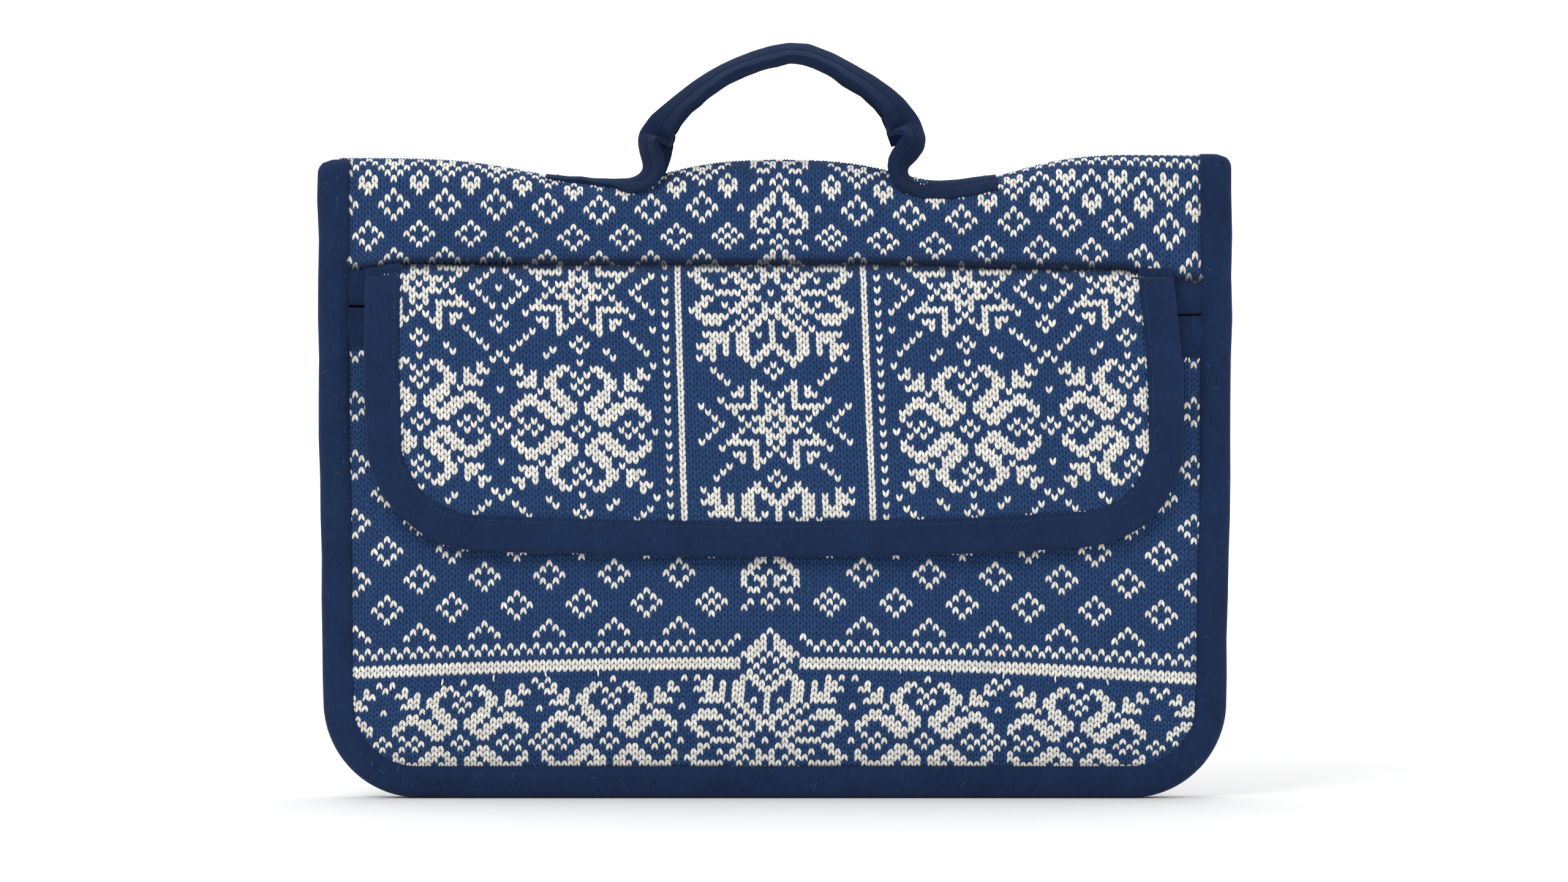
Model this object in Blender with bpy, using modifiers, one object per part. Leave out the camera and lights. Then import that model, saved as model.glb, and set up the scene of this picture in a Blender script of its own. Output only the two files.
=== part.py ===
"""A knitted bag for a thin laptop: a padded envelope with a fold-over top, a flap and a strap handle.

Run with: blender --background --python part.py
Metres, +Z up. The front of the bag looks along -Y. The origin is the middle of its bottom edge.
Every piece is cloth, so every piece is an open sheet, bent into shape and thickened by Solidify.
"""

import math

import bmesh
import bpy

MM = 0.001

# The bag's outline, seen from the front.
HALF_WIDTH = 200 * MM
CORNER_RADIUS = 41 * MM
BINDING_WIDTH = 13.5 * MM
CREST_Z = 279 * MM
CREST_DIP = 10 * MM
CREST_DIP_X = 75 * MM
CREST_DIP_SPREAD = 34 * MM

# The bag's depth: half of it, in the middle and inside the edge binding.
HALF_DEPTH = 13.6 * MM
EDGE_HALF_DEPTH = 8.4 * MM
TAPER = 24 * MM

# The layers of the bag's walls, counted inwards from the knitted face.
KNIT = 2.2 * MM
PADDING = 2.2 * MM
LINING = 1.0 * MM
LAYER_PITCH = 2.8 * MM
GAP = 0.4 * MM

# The mouth is the slot between two lips: the front panel's bound top edge, and a facing under the hood's edge.
HOOD_Z = 231 * MM
FACING_Z = (216.6 * MM, 230.6 * MM)
FRONT_TOP_Z = 209.4 * MM
MOUTH_BINDING_Z = 197 * MM
MOUTH_BINDING = 1.2 * MM

EDGE_BINDING = 1.5 * MM

# The flap, which hangs from the hood's lower edge.
FLAP_HALF_WIDTH = 178 * MM
FLAP_TOP_Z = 229.5 * MM
FLAP_BOTTOM_Z = 105.5 * MM
FLAP_CORNER_RADIUS = 45 * MM
FLAP_BINDING = 1.0 * MM
FLAP_BINDING_WIDTH = 13.5 * MM
FLAP_BACK_Y = -15.5 * MM
FLAP_LINING = 0.8 * MM
FLAP_PADDING = 1.2 * MM
FLAP_KNIT = 1.8 * MM
FLAP_GAP = 0.35 * MM
FLAP_HINGE = (-18.5 * MM, 230.2 * MM)

# The hook and loop fastener that keeps the flap shut.
FASTENER_HALF_WIDTH = 40 * MM
FASTENER_Z = (124 * MM, 144 * MM)
FASTENER = 0.8 * MM

# The handle: one strap, sewn flat on the crest at both ends and folded lengthwise where it is held.
STRAP = 2.2 * MM
STRAP_HALF_WIDTH = 11 * MM
STRAP_SPINE_HALF_WIDTH = 2.6 * MM
HANDLE_X = 3 * MM
HANDLE_PIVOT_Z = 257 * MM
FOOT_COLUMNS = [51 * MM, 67 * MM, 83 * MM, 99 * MM]
CORE = 1.6 * MM
CORE_DEPTH = (3 * MM, 9 * MM)
# The right half of the handle's outer edge, from its top to its foot: x from the middle, and z.
HANDLE_EDGE = [(0, 331.6), (15, 329.3), (30, 322.6), (44, 313), (56, 301.5), (62.8, 291), (62, 283), (57.5, 276)]

KNIT_BLUE = (0.055, 0.125, 0.30, 1)
CLOTH_NAVY = (0.020, 0.048, 0.120, 1)
WADDING_WHITE = (0.75, 0.74, 0.70, 1)
THREAD_BLUE = (0.04, 0.09, 0.20, 1)


def clear_scene():
    for obj in list(bpy.data.objects):
        bpy.data.objects.remove(obj)


def material(name, color, roughness):
    made = bpy.data.materials.new(name)
    made.use_nodes = True
    shader = made.node_tree.nodes["Principled BSDF"]
    shader.inputs["Base Color"].default_value = color
    shader.inputs["Roughness"].default_value = roughness
    shader.inputs["Metallic"].default_value = 0
    return made


def smooth(share):
    share = min(max(share, 0.0), 1.0)
    return share * share * (3 - 2 * share)


def spread(low, high, count):
    return [low + (high - low) * i / (count - 1) for i in range(count)]


def cloth(name, across, along, surface, thickness, finish, parent):
    """A sheet: surface(a, b) gives the point for each value in across and along. Solidify is centred on it."""
    mesh = bpy.data.meshes.new(name)
    shape = bmesh.new()
    bmesh.ops.create_grid(shape, x_segments=len(across) - 1, y_segments=len(along) - 1, size=1)
    for vert in shape.verts:
        column = round((vert.co.x + 1) / 2 * (len(across) - 1))
        row = round((vert.co.y + 1) / 2 * (len(along) - 1))
        vert.co = surface(across[column], along[row])
    bmesh.ops.recalc_face_normals(shape, faces=shape.faces)
    shape.to_mesh(mesh)
    shape.free()
    mesh.materials.append(finish)
    obj = bpy.data.objects.new(name, mesh)
    bpy.data.collections["knitted_laptop_bag"].objects.link(obj)
    obj.parent = parent
    obj.location = [-value for value in parent.location]
    solid = obj.modifiers.new("thickness", "SOLIDIFY")
    solid.thickness = thickness
    solid.offset = 0
    solid.use_even_offset = True
    return obj


def body(name, location):
    """An empty that the pieces of one moving body hang from, on that body's joint axis."""
    empty = bpy.data.objects.new(name, None)
    empty.location = location
    bpy.data.collections["knitted_laptop_bag"].objects.link(empty)
    return empty


# The shape of the bag


def edge_distance(x, z):
    """How far inside the outline a point is. The top is a fold, so it has no edge."""
    side, bottom = HALF_WIDTH - abs(x), z
    if side < CORNER_RADIUS and bottom < CORNER_RADIUS:
        return CORNER_RADIUS - math.hypot(CORNER_RADIUS - side, CORNER_RADIUS - bottom)
    return min(side, bottom)


def half_depth(x, z):
    inside = (edge_distance(x, z) - BINDING_WIDTH) / TAPER
    return EDGE_HALF_DEPTH + (HALF_DEPTH - EDGE_HALF_DEPTH) * smooth(inside)


def crest(x):
    """The height of the fold, which the two feet of the handle press down."""
    away = (abs(x - HANDLE_X) - CREST_DIP_X) / CREST_DIP_SPREAD
    return CREST_Z - CREST_DIP * math.exp(-away * away)


PANEL_INSET = EDGE_BINDING + GAP
PANEL_RADIUS = CORNER_RADIUS - PANEL_INSET
PANEL_HALF_WIDTH = HALF_WIDTH - PANEL_INSET
CORNER_ROWS = [PANEL_INSET + PANEL_RADIUS * (1 - math.cos(math.radians(a))) for a in (0, 18, 36, 54, 72, 90)]
EDGE_COLUMNS = [1.0, 0.965, 0.94, 0.905, 0.87, 0.83, 0.80]


def panel_half_width(z):
    below = PANEL_INSET + PANEL_RADIUS - z
    if below <= 0:
        return PANEL_HALF_WIDTH
    return PANEL_HALF_WIDTH - PANEL_RADIUS + math.sqrt(max(PANEL_RADIUS**2 - below**2, 0.0))


def columns(middle):
    """Shares of the panel's half width, close together where the bag's depth tapers."""
    left = [-share for share in EDGE_COLUMNS]
    return left + middle + EDGE_COLUMNS[::-1]


def back_and_hood(offset):
    """The sheet that rises up the back, folds over the crest and ends as the hood, this deep in the wall."""

    def point(share, station):
        kind, value = station
        if kind != "arc":
            x = share * panel_half_width(value)
            y = half_depth(x, value) - offset
            return x, y if kind == "back" else -y, value
        x = share * PANEL_HALF_WIDTH
        radius = half_depth(x, CREST_Z / 2)
        centre = crest(x) - radius
        radius -= offset
        return x, radius * math.cos(value), centre + radius * math.sin(value)

    return point


BACK_ROWS = [("back", z) for z in CORNER_ROWS + [150 * MM]]
ARC_ROWS = [("arc", math.radians(a)) for a in range(0, 181, 20)]
HOOD_ROWS = [("hood", HOOD_Z)]


def front(offset):
    def point(share, z):
        x = share * panel_half_width(z)
        return x, -(half_depth(x, z) - offset), z

    return point


def make_walls(bag, knit, wadding, navy):
    """The three layers of the back with its hood, and of the front panel."""
    layers = [("knit", 0, KNIT, knit), ("padding", 1, PADDING, wadding), ("lining", 2, LINING, navy)]
    half = [25 * MM] + FOOT_COLUMNS + [125 * MM]
    crest_places = [-x for x in half[::-1]] + [0] + half
    crest_columns = columns([(HANDLE_X + x) / PANEL_HALF_WIDTH for x in crest_places])
    rows = BACK_ROWS + ARC_ROWS + HOOD_ROWS
    front_rows = CORNER_ROWS + [FRONT_TOP_Z]
    for layer, place, thickness, finish in layers:
        middle = place * LAYER_PITCH + thickness / 2
        cloth(f"{layer}_back_and_hood", crest_columns, rows, back_and_hood(middle), thickness, finish, bag)
        cloth(f"{layer}_front_panel", columns([]), front_rows, front(middle), thickness, finish, bag)


def outline(distance, inset, half_width, radius, bottom, top):
    """A point on a U, this share of the way round: down the left side, along the bottom and up the right."""
    part, share = distance
    turn = math.radians(90 * share)
    reach = radius - inset
    if part == "left":
        return -(half_width - inset), top + (bottom + radius - top) * share
    if part == "left_corner":
        return -(half_width - radius) - reach * math.cos(turn), bottom + radius - reach * math.sin(turn)
    if part == "right_corner":
        return half_width - radius + reach * math.sin(turn), bottom + radius - reach * math.cos(turn)
    return half_width - inset, bottom + radius + (top - bottom - radius) * share


CORNER_SHARES = spread(0, 1, 9)
U_STATIONS = (
    [("left", 0)]
    + [("left_corner", share) for share in CORNER_SHARES]
    + [("right_corner", share) for share in CORNER_SHARES]
    + [("right", 1)]
)


def make_edge_binding(bag, navy):
    """One folded strip that holds the edges of the front and the back together."""
    flange = EDGE_HALF_DEPTH + GAP + EDGE_BINDING / 2
    web = EDGE_BINDING / 2
    turn = 0.7 * MM
    section = [
        (BINDING_WIDTH, -flange),
        (web + turn, -flange),
        (web, -flange + turn),
        (web, flange - turn),
        (web + turn, flange),
        (BINDING_WIDTH, flange),
    ]

    def point(station, at):
        inset, y = at
        x, z = outline(station, inset, HALF_WIDTH, CORNER_RADIUS, 0, CREST_Z - MM)
        return x, y, z

    cloth("edge_binding", U_STATIONS, section, point, EDGE_BINDING, navy, bag)


def make_mouth_binding(bag, navy):
    """The strip folded over the top edge of the front panel."""
    wall = 2 * LAYER_PITCH + LINING
    clear = GAP + MOUTH_BINDING / 2
    fold = FRONT_TOP_Z + clear
    turn = 0.6 * MM
    section = [
        (-clear, MOUTH_BINDING_Z),
        (-clear, fold - turn),
        (-clear + turn, fold),
        (wall + clear - turn, fold),
        (wall + clear, fold - turn),
        (wall + clear, MOUTH_BINDING_Z),
    ]
    reach = HALF_WIDTH - BINDING_WIDTH - MM

    def point(share, at):
        offset, z = at
        x = share * reach
        return x, -(half_depth(x, FRONT_TOP_Z) - offset), z

    cloth("mouth_binding", columns([]), section, point, MOUTH_BINDING, navy, bag)


def make_mouth_facing(bag, navy):
    """The strip that carries on down from the hood and is the mouth's upper lip."""
    reach = HALF_WIDTH - BINDING_WIDTH - MM

    def point(share, z):
        x = share * reach
        return x, -(half_depth(x, FRONT_TOP_Z) - MOUTH_BINDING / 2), z

    cloth("mouth_facing", columns([]), FACING_Z, point, MOUTH_BINDING, navy, bag)


# The flap


FLAP_INSET = FLAP_BINDING + FLAP_GAP
FLAP_ROWS = [math.radians(a) for a in (0, 18, 36, 54, 72, 90)]


def flap_sheet(y):
    """A flat sheet with the flap's rounded lower corners, at this depth."""

    def point(share, row):
        radius = FLAP_CORNER_RADIUS - FLAP_INSET
        half_width = FLAP_HALF_WIDTH - FLAP_INSET
        if row is None:
            return share * half_width, y, FLAP_TOP_Z
        wide = half_width - radius + radius * math.sin(row)
        return share * wide, y, FLAP_BOTTOM_Z + FLAP_INSET + radius * (1 - math.cos(row))

    return point


def make_flap(flap, knit, wadding, navy):
    back = FLAP_BACK_Y - FLAP_BINDING - FLAP_GAP
    layers = [("lining", FLAP_LINING, navy), ("padding", FLAP_PADDING, wadding), ("knit", FLAP_KNIT, knit)]
    for layer, thickness, finish in layers:
        sheet = flap_sheet(back - thickness / 2)
        cloth(f"flap_{layer}", [-1, -0.75, 0.75, 1], FLAP_ROWS + [None], sheet, thickness, finish, flap)
        back -= thickness + FLAP_GAP
    front_y = back - FLAP_BINDING / 2
    back_y = FLAP_BACK_Y - FLAP_BINDING / 2
    web = FLAP_BINDING / 2
    turn = 0.5 * MM
    section = [
        (FLAP_BINDING_WIDTH, front_y),
        (web + turn, front_y),
        (web, front_y + turn),
        (web, back_y - turn),
        (web + turn, back_y),
        (FLAP_BINDING_WIDTH, back_y),
    ]

    def point(station, at):
        inset, y = at
        x, z = outline(station, inset, FLAP_HALF_WIDTH, FLAP_CORNER_RADIUS, FLAP_BOTTOM_Z, FLAP_TOP_Z)
        return x, y, z

    cloth("flap_binding", U_STATIONS, section, point, FLAP_BINDING, navy, flap)


def make_fastener(bag, flap, thread):
    """The soft strip is sewn on the front panel and the hooked one behind it, on the flap's lining."""
    width = [-FASTENER_HALF_WIDTH, FASTENER_HALF_WIDTH]
    loop_y = -(HALF_DEPTH + GAP + FASTENER / 2)
    hook_y = FLAP_BACK_Y - FLAP_BINDING - FLAP_GAP + GAP + FASTENER / 2
    cloth("loop_strip", width, FASTENER_Z, lambda x, z: (x, loop_y, z), FASTENER, thread, bag)
    cloth("hook_strip", width, FASTENER_Z, lambda x, z: (x, hook_y, z), FASTENER, thread, flap)


# The handle


def make_feet(bag, navy, thread):
    """The flat ends of the strap, wrapped over the crest, each with a row of stitches near its end."""
    reach = STRAP_HALF_WIDTH / (HALF_DEPTH + GAP + STRAP / 2)
    turns = spread(math.pi / 2 - reach, math.pi / 2 + reach, 7)

    def over_crest(side, height):
        def point(along, turn):
            x = HANDLE_X + side * along
            radius = HALF_DEPTH + GAP + height
            middle = crest(x) - HALF_DEPTH
            return x, radius * math.cos(turn), middle + radius * math.sin(turn)

        return point

    for name, side in (("left", -1), ("right", 1)):
        cloth(f"handle_foot_{name}", FOOT_COLUMNS, turns, over_crest(side, STRAP / 2), STRAP, navy, bag)
        cloth(
            f"foot_stitching_{name}",
            [FOOT_COLUMNS[-1] - 4.6 * MM, FOOT_COLUMNS[-1] - 4 * MM],
            spread(turns[0] + 0.08, turns[-1] - 0.08, 7),
            over_crest(side, STRAP + 0.6 * MM),
            0.4 * MM,
            thread,
            bag,
        )


def catmull_rom(points, share):
    """A smooth curve through the points."""
    place = share * (len(points) - 1)
    i = min(int(place), len(points) - 2)
    t = place - i
    before, start = points[max(i - 1, 0)], points[i]
    end, after = points[i + 1], points[min(i + 2, len(points) - 1)]
    return [
        0.5 * (2 * b + (c - a) * t + (2 * a - 5 * b + 4 * c - d) * t**2 + (3 * b - a - 3 * c + d) * t**3)
        for a, b, c, d in zip(before, start, end, after)
    ]


HANDLE_LINE = [(-x * MM, z * MM) for x, z in HANDLE_EDGE[:0:-1]] + [(x * MM, z * MM) for x, z in HANDLE_EDGE]


def handle_point(share, inwards, y):
    """A point of the handle: this share of the way along its outer edge, and this far in from that edge."""
    step = 0.01
    x, z = catmull_rom(HANDLE_LINE, share)
    x0, z0 = catmull_rom(HANDLE_LINE, max(share - step, 0))
    x1, z1 = catmull_rom(HANDLE_LINE, min(share + step, 1))
    length = math.hypot(x1 - x0, z1 - z0)
    return HANDLE_X + x + inwards * (z1 - z0) / length, y, z - inwards * (x1 - x0) / length


def handle_fold(share):
    """How far the strap's two halves are folded together: 90 degrees along the grip."""
    away = abs(share - 0.5) * 2
    return math.radians(12 + 78 * smooth((0.93 - away) / 0.22))


def make_handle(handle, navy, wadding):
    stations = spread(0.0, 1.0, 27)
    wing = STRAP_HALF_WIDTH - STRAP_SPINE_HALF_WIDTH
    lengths = [-wing, -wing / 2, 0, 0, wing / 2, wing]
    sides = [-1, -1, -1, 1, 1, 1]

    def strap(share, at):
        side, length = at
        fold = handle_fold(share)
        y = side * (STRAP_SPINE_HALF_WIDTH + abs(length) * math.cos(fold))
        return handle_point(share, STRAP / 2 + abs(length) * math.sin(fold), y)

    cloth("handle_strap", stations, list(zip(sides, lengths)), strap, STRAP, navy, handle)

    def core(share, inwards):
        return handle_point(share, inwards, 0)

    cloth("handle_core", spread(0.2, 0.8, 15), CORE_DEPTH, core, CORE, wadding, handle)


def main():
    clear_scene()
    collection = bpy.data.collections.new("knitted_laptop_bag")
    bpy.context.scene.collection.children.link(collection)
    knit = material("knit", KNIT_BLUE, 0.9)
    navy = material("navy_wool", CLOTH_NAVY, 0.95)
    wadding = material("wadding", WADDING_WHITE, 0.95)
    thread = material("thread", THREAD_BLUE, 0.8)
    bag = body("bag", (0, 0, 0))
    flap = body("flap", (0, *FLAP_HINGE))
    handle = body("handle", (HANDLE_X, 0, HANDLE_PIVOT_Z))
    make_walls(bag, knit, wadding, navy)
    make_edge_binding(bag, navy)
    make_mouth_binding(bag, navy)
    make_mouth_facing(bag, navy)
    make_flap(flap, knit, wadding, navy)
    make_fastener(bag, flap, thread)
    make_feet(bag, navy, thread)
    make_handle(handle, navy, wadding)


main()
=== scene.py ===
"""The looks of the knitted laptop bag: knitted walls, felted wool bindings, a flap and a strap handle."""

import math

import bmesh
import bpy
import numpy as np
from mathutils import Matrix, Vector


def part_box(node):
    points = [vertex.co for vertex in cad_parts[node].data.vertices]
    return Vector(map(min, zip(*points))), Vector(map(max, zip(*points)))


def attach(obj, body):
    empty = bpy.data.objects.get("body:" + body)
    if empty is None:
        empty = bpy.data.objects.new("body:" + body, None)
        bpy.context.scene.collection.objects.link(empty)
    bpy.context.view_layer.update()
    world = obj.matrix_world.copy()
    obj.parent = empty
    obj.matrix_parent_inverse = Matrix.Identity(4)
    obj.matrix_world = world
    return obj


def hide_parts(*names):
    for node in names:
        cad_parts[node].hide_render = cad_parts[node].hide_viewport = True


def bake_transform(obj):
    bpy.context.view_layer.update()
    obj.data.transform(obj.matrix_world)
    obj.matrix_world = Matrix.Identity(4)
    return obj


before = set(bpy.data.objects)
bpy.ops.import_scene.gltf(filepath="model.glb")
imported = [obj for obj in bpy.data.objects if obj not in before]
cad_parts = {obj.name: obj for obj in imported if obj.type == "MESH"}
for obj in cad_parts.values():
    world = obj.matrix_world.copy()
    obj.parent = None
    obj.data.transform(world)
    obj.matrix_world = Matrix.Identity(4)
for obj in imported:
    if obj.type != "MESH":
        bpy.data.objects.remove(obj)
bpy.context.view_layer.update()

MM = 0.001
RNG = np.random.default_rng(7)

# The bag's shape, read from the frame.
BINDING_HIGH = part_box("edge_binding")[1]
FLAP_LOW, FLAP_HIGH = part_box("flap_binding")
FRONT_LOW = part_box("knit_front_panel")[0]
LIP_LOW, LIP_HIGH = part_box("mouth_binding")
FACING_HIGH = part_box("mouth_facing")[1]
STRAP_LOW, STRAP_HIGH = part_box("handle_strap")

HALF_WIDTH = BINDING_HIGH.x
EDGE_HALF_DEPTH = BINDING_HIGH.y - 1.9 * MM
HALF_DEPTH = -FRONT_LOW.y
CREST_Z = BINDING_HIGH.z + MM
HOOD_Z = FACING_HIGH.z
HANDLE_X = (STRAP_LOW.x + STRAP_HIGH.x) / 2
CORNER_RADIUS = 41 * MM
BINDING_WIDTH = 13.5 * MM
TAPER = 24 * MM
CREST_DIP = 10 * MM
CREST_DIP_X = 75 * MM
CREST_DIP_SPREAD = 34 * MM
TILT = 2.6 * MM

# The knitting: the size of one stitch on each panel.
WALE = 2.78 * MM
FRONT_COURSE = 2.56 * MM
HOOD_COURSE = 2.85 * MM
FLAP_WALE = 2.90 * MM
FLAP_COURSE = 2.60 * MM
RELIEF = 0.85 * MM


# Knitting charts. A quarter chart is mirrored both ways about its first stitch and its last row, and a half
# chart sideways about its first stitch. Rows run from the top down, and # is a stitch in the white yarn.

STAR = """
...#.....
..##.#...
.#.#.##..
#..#....#
.#.#####.
##....#..
.###.#...
#.#.#....
"""

ROSE = """
#............
..##.....#...
.#.##..#.##..
#...##.##....
.#..##.###...
#..##.#.....#
..###..##....
.###.#####...
.##.###..##..
..####....#..
#..##..#.#..#
.#....#.#..#.
"""

FLAKE = """
...#.........
..###....#.#.
.##.##.#.##..
##..##.#.###.
#...##.###...
#.#.##.####..
#..##.#......
#.##.#..###..
.##.#..#####.
##.#.##....##
.#..##.#..##.
..###....##..
#..#.####....
"""

RING = """
#..
.#.
..#
"""

DOTS = """
#.
.#
"""

FRONT_LEAF = """
#......
.#.....
.##....
.###...
#.###..
.#.#...
..#....
.#.....
#......
"""

HOOD_LEAF = """
.#...
.##..
..##.
#..##
.##.#
.#..#
..##.
#....
.#.#.
#...#
"""

CROWN = """
#.
.#
##
#.
"""

ZIGZAG = """
.#..#
##.#.
#.#..
.#...
#....
"""


def stitches_of(text):
    """The marked stitches of a chart, as (across, up) from its lower left corner."""
    rows = text.split()[::-1]
    return {(c, r) for r, row in enumerate(rows) for c, mark in enumerate(row) if mark == "#"}


def quarter(text):
    """The stitches of a motif from its upper right quarter, as (across, up) from its middle."""
    return {(c * i, r * j) for c, r in stitches_of(text) for i in (-1, 1) for j in (-1, 1)}


def half(text):
    """The stitches of a motif from its right half, as (across, up) from the middle of its lowest row."""
    return {(c * i, r) for c, r in stitches_of(text) for i in (-1, 1)}


class Chart:
    """A panel's stitches: which are white. Columns count from the middle, rows from the first one knitted."""

    def __init__(self, half_columns, rows):
        self.half_columns = half_columns
        self.rows = rows
        self.white = np.zeros((rows, 2 * half_columns + 1), bool)

    def put(self, points, column, row):
        for c, r in points:
            i, j = row + r, column + c + self.half_columns
            if 0 <= i < self.rows and 0 <= j < self.white.shape[1]:
                self.white[i, j] = True

    def both(self, points, column, row):
        self.put(points, column, row)
        self.put(points, -column, row)

    def clear(self, column, row, half_width, half_height):
        low = max(row - half_height, 0)
        left = column + self.half_columns - half_width
        self.white[low : row + half_height + 1, max(left, 0) : left + 2 * half_width + 1] = False

    def columns(self):
        return np.arange(-self.half_columns, self.half_columns + 1)


# The border's middle row, the columns of its roses and of the diamonds between them, and the rings' distance.
BORDER_ROW = 8
ROSE_COLUMNS = (24, 47, 71)
DIAMOND_COLUMNS = (35, 59)
RING_STEP = 10


def wall_chart(half_columns, rows):
    """The front's and the back's chart, from the bottom up: a border of roses, a stripe, and rings."""
    chart = Chart(half_columns, rows)
    across = abs(chart.columns())
    rose = {(c, r) for c, r in quarter(ROSE) if abs(c) < 11}
    for column in ROSE_COLUMNS:
        chart.both(rose, column, BORDER_ROW)
    for column in DIAMOND_COLUMNS:
        chart.both(quarter(DOTS) | {(-1, 11), (0, 10), (1, 11), (0, 6), (0, -6)}, column, BORDER_ROW)
    chart.both({(0, 11), (0, 6), (0, 0), (0, -6)}, 13, BORDER_ROW)
    chart.put(quarter(FLAKE), 0, BORDER_ROW)
    chart.white[BORDER_ROW + 13 : BORDER_ROW + 15, across > 4] = True
    chart.white[BORDER_ROW + 16, (across > 5) & (across % 2 == 1)] = True
    chart.white[BORDER_ROW + 17, (across > 5) & (across % 2 == 0)] = True
    for column in range(14, half_columns + 3, RING_STEP):
        chart.both({(0, 21), (-1, 20), (1, 20), (-2, 19), (2, 19)}, column, BORDER_ROW)
    ring_rows = range(BORDER_ROW + 24, rows, 5)
    for number, row in enumerate(ring_rows):
        for column in range(9 if number % 2 == 0 else 14, half_columns + 3, RING_STEP):
            chart.both(quarter(RING), column, row)
        if number % 2 == 0:
            chart.both({(0, 0)}, 9, row)
    chart.both({(0, 18)}, 5, BORDER_ROW)
    chart.put(half(FRONT_LEAF), 0, BORDER_ROW + 11)
    for row in range(BORDER_ROW + 23, rows, 11):
        chart.put(half(HOOD_LEAF), 0, row)
    return chart


def hood_chart(half_columns, rows):
    """The hood's chart, from its lower edge up: rings, crowns, a zigzag, dotted rows and a stripe."""
    chart = Chart(half_columns, rows)
    across = abs(chart.columns())
    for column in range(8, half_columns + 4, 8):
        chart.both(quarter(RING), column, 5)
        chart.both(quarter(RING), column, 29)
        chart.both(half(CROWN), column, 12)
    for column in range(12, half_columns + 4, 8):
        chart.both(quarter(RING), column, 0)
        chart.both(quarter(RING), column, 10)
        chart.both(half(ZIGZAG), column, 14)
    chart.both({(0, 0)}, 8, 5)
    chart.white[20, across % 2 == 0] = True
    chart.white[21, across % 2 == 1] = True
    chart.white[23:25] = True
    for row in (-7, 3, 13):
        chart.put(half(HOOD_LEAF), 0, row)
    chart.both({(0, 0)}, 6, 10)
    return chart


# The row of the star in the flap's middle, and how far above and below it the snowflakes are.
STAR_ROW = 24
FLAKE_STEP = 22


def flap_chart(half_columns, rows):
    """The flap's chart: a star between two snowflakes in the middle, and roses with stars beside it."""
    chart = Chart(half_columns, rows)
    diagonal = {(i * c, j * c) for c in (7, 8, 9) for i in (-1, 1) for j in (-1, 1)}
    rose_row = STAR_ROW - 2
    for column in (29, 53):
        chart.both(quarter(ROSE), column, rose_row)
        for side in (-1, 1):
            chart.both(quarter(DOTS), column, rose_row + 14 * side)
            chart.both(quarter(STAR), column, rose_row + 23 * side)
            corner = {(i * c, side * (23 - c)) for c in (7, 8, 9, 10) for i in (-1, 1)}
            arms = {(i * c, side * r) for c, r in ((4, 13), (5, 12)) for i in (-1, 1)}
            chart.both(corner | arms, column, rose_row)
    for column in (17, 41, 65):
        for side in (-1, 1):
            chart.both({(0, 12 * side), (-1, 11 * side), (1, 11 * side), (0, 23 * side)}, column, rose_row)
            chart.both(quarter(DOTS), column, rose_row + 17 * side)
            lozenge = {(i * c, j * (4 - c)) for c in (1, 2, 3, 4) for i in (-1, 1) for j in (-1, 1)}
            chart.both(lozenge, column, rose_row + 23 * side)
    chart.clear(0, rows // 2, 17, rows)
    for row in (STAR_ROW - FLAKE_STEP, STAR_ROW + FLAKE_STEP):
        chart.put(quarter(FLAKE), 0, row)
    chart.put(quarter(STAR) | diagonal, 0, STAR_ROW)
    for side in (-1, 1):
        chart.put(quarter(DOTS), 0, STAR_ROW + 9 * side)
        chart.put({(side * (8 + abs(r)), r) for r in range(-3, 4)}, 0, STAR_ROW)
    across = abs(chart.columns())
    chart.white[:, across == 14] = True
    chart.white[::2, across == 16] = True
    return chart


# Surfaces. Each is a function of arrays, so that a whole panel is made at once.


def smooth(share):
    share = np.clip(share, 0, 1)
    return share * share * (3 - 2 * share)


def crest(x):
    away = np.abs(x - HANDLE_X) - CREST_DIP_X
    away = away / np.where((away > 0) & (x < 0), 1.35 * CREST_DIP_SPREAD, CREST_DIP_SPREAD)
    ends = np.where(x > 0, 2.2, 0.6) * MM * smooth((np.abs(x) - 95 * MM) / (60 * MM))
    return CREST_Z + ends - CREST_DIP * np.exp(-away * away)


def rounded_distance(side, bottom, radius):
    """The distance to an outline with rounded lower corners, from those to its side and its bottom."""
    corner = radius - np.hypot(radius - side, radius - bottom)
    in_corner = (side < radius) & (bottom < radius)
    return np.where(in_corner, corner, np.minimum(side, bottom))


def edge_distance(x, z):
    return rounded_distance(HALF_WIDTH - np.abs(x), z, CORNER_RADIUS)


def ripple(x, z):
    """The slow unevenness of a padded, hand-finished panel."""
    return (
        0.45 * np.sin(31 * x + 17 * z + 0.6)
        + 0.35 * np.sin(53 * x - 29 * z + 2.1)
        + 0.30 * np.sin(14 * x + 61 * z + 4.0)
    ) * MM


def wall_depth(x, z):
    inside = (edge_distance(x, z) - BINDING_WIDTH + 2 * MM) / TAPER
    puff = smooth(inside) ** 0.6
    return EDGE_HALF_DEPTH - 0.5 * MM + (HALF_DEPTH - EDGE_HALF_DEPTH) * puff + ripple(x, z) * puff


def front_surface(x, z):
    return np.stack([x, -wall_depth(x, z), z], -1)


WRAP_FLAT_Z = 253 * MM
HOOD_FLAT = WRAP_FLAT_Z - HOOD_Z
FOLD_LENGTH = 2 * (CREST_Z - HALF_DEPTH - WRAP_FLAT_Z) + math.pi * HALF_DEPTH
WRAP_LENGTH = HOOD_FLAT + FOLD_LENGTH + WRAP_FLAT_Z
CURL = 3.0 * MM
# The flap's columns lean to the left by this share of their height.
FLAP_LEAN = 0.035


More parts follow.
